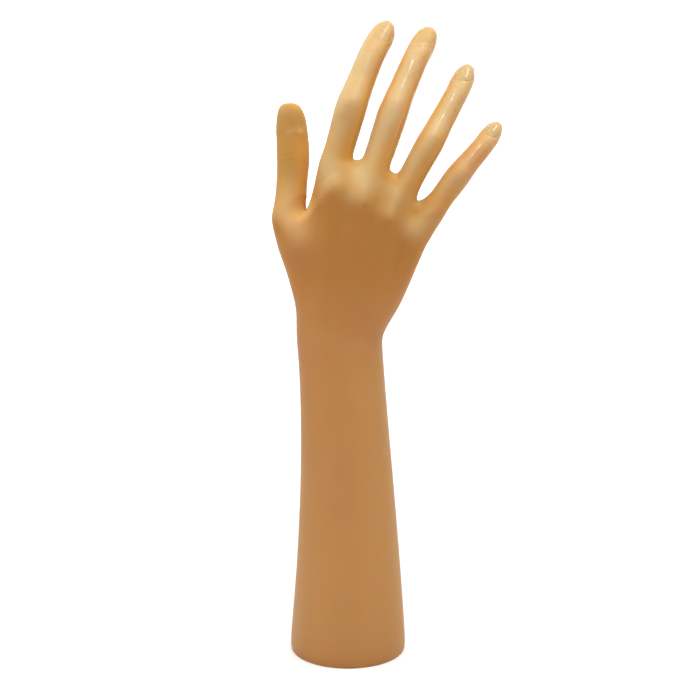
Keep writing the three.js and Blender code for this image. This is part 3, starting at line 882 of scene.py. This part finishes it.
def paintSkin(skin):
    points, normals = pointsOf(skin), normalsOf(skin)
    across, height = points[:, 0], points[:, 2]
    turn, upward = normals[:, 0], normals[:, 2]
    # painted shade on what looks straight up
    top = smoothStep(upward, *vinylSetup["top"]) * smoothStep(height, *vinylSetup["topHeight"])
    thumb = smoothStep(across, *vinylSetup["thumbAcross"]) * smoothStep(height, *vinylSetup["thumbHeight"])
    # painted glow on the thumb's side to the index finger
    thumbSideGlow = thumb * smoothStep(turn, *vinylSetup["thumbSideGlow"])
    thumbSideGlow *= smoothStep(height, *vinylSetup["thumbSideGlowHeight"])
    fingers = fingerTones(points, normals)
    details = detailTones(points, normals)
    shares = {
        "litFromAbove": smoothStep(upward, *vinylSetup["litFromAbove"]),
        "top": vinylSetup["topShare"] * top,
        "arm": smoothStep(height, *vinylSetup["arm"]),
        "thumb": vinylSetup["thumbShare"] * thumb,
        "armSideShade": armSideAndFootShade(height, turn),
        "thumbSideGlow": vinylSetup["thumbSideGlowShare"] * thumbSideGlow,
        "blush": patchShare(points, blushPatches),
        "fold": vinylSetup["foldShare"] * np.clip(details["fold"], 0, 1),
        "nail": details["nail"],
        "paleLight": fingers["paleLight"],
        "edge": fingers["edge"],
        "gloss": fingers["gloss"] + details["gloss"],
        "glow": patchShare(points, glowLightPatches),
    }
    for name, share in shares.items():
        paint(skin, name, np.clip(share, 0, 1))


paintSkin(skin)


def newGroup(name, inputs, outputs):
    group = bpy.data.node_groups.new(name, "ShaderNodeTree")
    for socket, kind in inputs.items():
        group.interface.new_socket(name=socket, in_out="INPUT", socket_type="NodeSocket" + kind)
    for socket, kind in outputs.items():
        group.interface.new_socket(name=socket, in_out="OUTPUT", socket_type="NodeSocket" + kind)
    return group, group.nodes.new("NodeGroupInput"), group.nodes.new("NodeGroupOutput")


# uneven tone and fine grain of a cast or moulded surface: detail and roughness of the patches
# and of the grain, and the part of the patches that is stretched from none to all
surfaceSetup = {"patches": (3.0, 0.55), "grain": (2.0, 0.6), "stretch": (0.3, 0.7)}


def addNoise(group, given, scale, detail, roughness):
    noise = addNode(group, "TexNoise", {"Detail": detail, "Roughness": roughness})
    link(group, given.outputs["Vector"], noise.inputs["Vector"])
    link(group, given.outputs[scale], noise.inputs["Scale"])
    return noise.outputs[0]


def surfaceGroup():
    inputs = {"Vector": "Vector", "Patch Scale": "Float", "Grain Scale": "Float"}
    group, given, result = newGroup("castSurface", inputs, {"Patches": "Float", "Grain": "Float"})
    patches = addNoise(group, given, "Patch Scale", *surfaceSetup["patches"])
    grain = addNoise(group, given, "Grain Scale", *surfaceSetup["grain"])
    low, high = surfaceSetup["stretch"]
    stretched = addNode(group, "MapRange", {"From Min": low, "From Max": high})
    link(group, patches, stretched.inputs["Value"])
    link(group, stretched.outputs["Result"], result.inputs["Patches"])
    link(group, grain, result.inputs["Grain"])
    return group


castSurface = surfaceGroup()


def placeSurface(tree, patchScale, grainScale):
    place = addNode(tree, "TexCoord")
    surface = addNode(tree, "Group", node_tree=castSurface)
    surface.inputs["Patch Scale"].default_value = patchScale
    surface.inputs["Grain Scale"].default_value = grainScale
    link(tree, place.outputs["Object"], surface.inputs["Vector"])
    return surface


def mixTone(tree, first, second, share):
    mix = addNode(tree, "Mix", data_type="RGBA")
    for socket, tone in ((mix.inputs["A"], first), (mix.inputs["B"], second)):
        if isinstance(tone, tuple):
            socket.default_value = tone
        else:
            link(tree, tone, socket)
    link(tree, share, mix.inputs["Factor"])
    return mix.outputs["Result"]


def scaled(tree, value, factor):
    product = addNode(tree, "Math", {1: factor}, operation="MULTIPLY")
    link(tree, value, product.inputs[0])
    return product.outputs[0]


def mapped(tree, value, low, high):
    ramp = addNode(tree, "MapRange", {"To Min": low, "To Max": high})
    link(tree, value, ramp.inputs["Value"])
    return ramp.outputs["Result"]


def painted(tree, name):
    return addNode(tree, "Attribute", attribute_name=name).outputs["Fac"]


def addBump(tree, shade, height, strength, distance):
    bump = addNode(tree, "Bump", {"Strength": strength, "Distance": distance * mm})
    link(tree, height, bump.inputs["Height"])
    link(tree, bump.outputs["Normal"], shade.inputs["Normal"])


def layTones(tree, tone, layers):
    for layer in layers:
        tone = mixTone(tree, tone, vinylSetup[layer + "Tone"], painted(tree, layer))
    return tone


def vinylMaterial():
    material, tree, output = newMaterial("skinVinyl")
    shade = addNode(tree, "BsdfPrincipled", {
        "Specular IOR Level": vinylSetup["specular"],
        "Subsurface Weight": vinylSetup["subsurface"],
        "Subsurface Scale": vinylSetup["subsurfaceScale"],
        "Subsurface Radius": vinylSetup["subsurfaceRadius"],
        "Coat Roughness": vinylSetup["coatRoughness"],
    })
    surface = placeSurface(tree, *vinylSetup["scales"])
    patches = surface.outputs["Patches"]
    tone = layTones(tree, vinylSetup["deepTone"], vinylLayers["below"])
    blush = addNode(tree, "Math", operation="MULTIPLY")
    link(tree, painted(tree, "blush"), blush.inputs[0])
    link(tree, mapped(tree, patches, *vinylSetup["blushRange"]), blush.inputs[1])
    tone = mixTone(tree, tone, vinylSetup["blushTone"], blush.outputs[0])
    tone = mixTone(tree, tone, vinylSetup["blushTone"], scaled(tree, patches, vinylSetup["blushAll"]))
    tone = layTones(tree, tone, vinylLayers["above"])
    link(tree, tone, shade.inputs["Base Color"])
    gloss = painted(tree, "gloss")
    rough = mapped(tree, gloss, vinylSetup["roughArm"], vinylSetup["roughFinger"])
    uneven = addNode(tree, "Math", operation="ADD")
    link(tree, rough, uneven.inputs[0])
    link(tree, mapped(tree, patches, *vinylSetup["uneven"]), uneven.inputs[1])
    link(tree, uneven.outputs[0], shade.inputs["Roughness"])
    link(tree, gloss, shade.inputs["Coat Weight"])
    addBump(tree, shade, surface.outputs["Grain"], *vinylSetup["bump"])
    link(tree, shade.outputs[0], output.inputs["Surface"])
    return material


skin.data.materials.clear()
skin.data.materials.append(vinylMaterial())
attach(skin, "root")
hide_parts("hand_shell")
print("skin finished")


# finishes of the closing plug and of the ballast inside: two tones that lie in patches, metal, roughness
# between two values, scales of the patches and of the grain, and strength and depth of the bump
finishes = {
    "plugPlastic": {
        "parts": ["base_plug"],
        "light": (0.50, 0.46, 0.38, 1), "dark": (0.40, 0.36, 0.29, 1), "metal": 0.0,
        "rough": (0.5, 0.65), "scales": (45.0, 700.0), "bump": (0.2, 0.1),
    },
    "castIron": {
        "parts": ["ballast_weight"],
        "light": (0.075, 0.072, 0.07, 1), "dark": (0.03, 0.028, 0.027, 1), "metal": 0.8,
        "rough": (0.55, 0.8), "scales": (90.0, 420.0), "bump": (0.7, 0.4),
    },
    "zincSteel": {
        "parts": ["ballast_washer", "ballast_screw"],
        "light": (0.62, 0.63, 0.62, 1), "dark": (0.46, 0.47, 0.48, 1), "metal": 1.0,
        "rough": (0.25, 0.42), "scales": (160.0, 1200.0), "bump": (0.1, 0.05),
    },
}


def finishMaterial(name, finish):
    material, tree, output = newMaterial(name)
    shade = addNode(tree, "BsdfPrincipled", {"Metallic": finish["metal"]})
    surface = placeSurface(tree, *finish["scales"])
    patches = surface.outputs["Patches"]
    link(tree, mixTone(tree, finish["light"], finish["dark"], patches), shade.inputs["Base Color"])
    link(tree, mapped(tree, patches, *finish["rough"]), shade.inputs["Roughness"])
    addBump(tree, shade, surface.outputs["Grain"], *finish["bump"])
    link(tree, shade.outputs[0], output.inputs["Surface"])
    return material


for name, finish in finishes.items():
    material = finishMaterial(name, finish)
    for part in finish["parts"]:
        nodes[part].data.materials.clear()
        nodes[part].data.materials.append(material)
print("plug and ballast finished")

bpy.context.scene.view_settings.view_transform = "Standard"
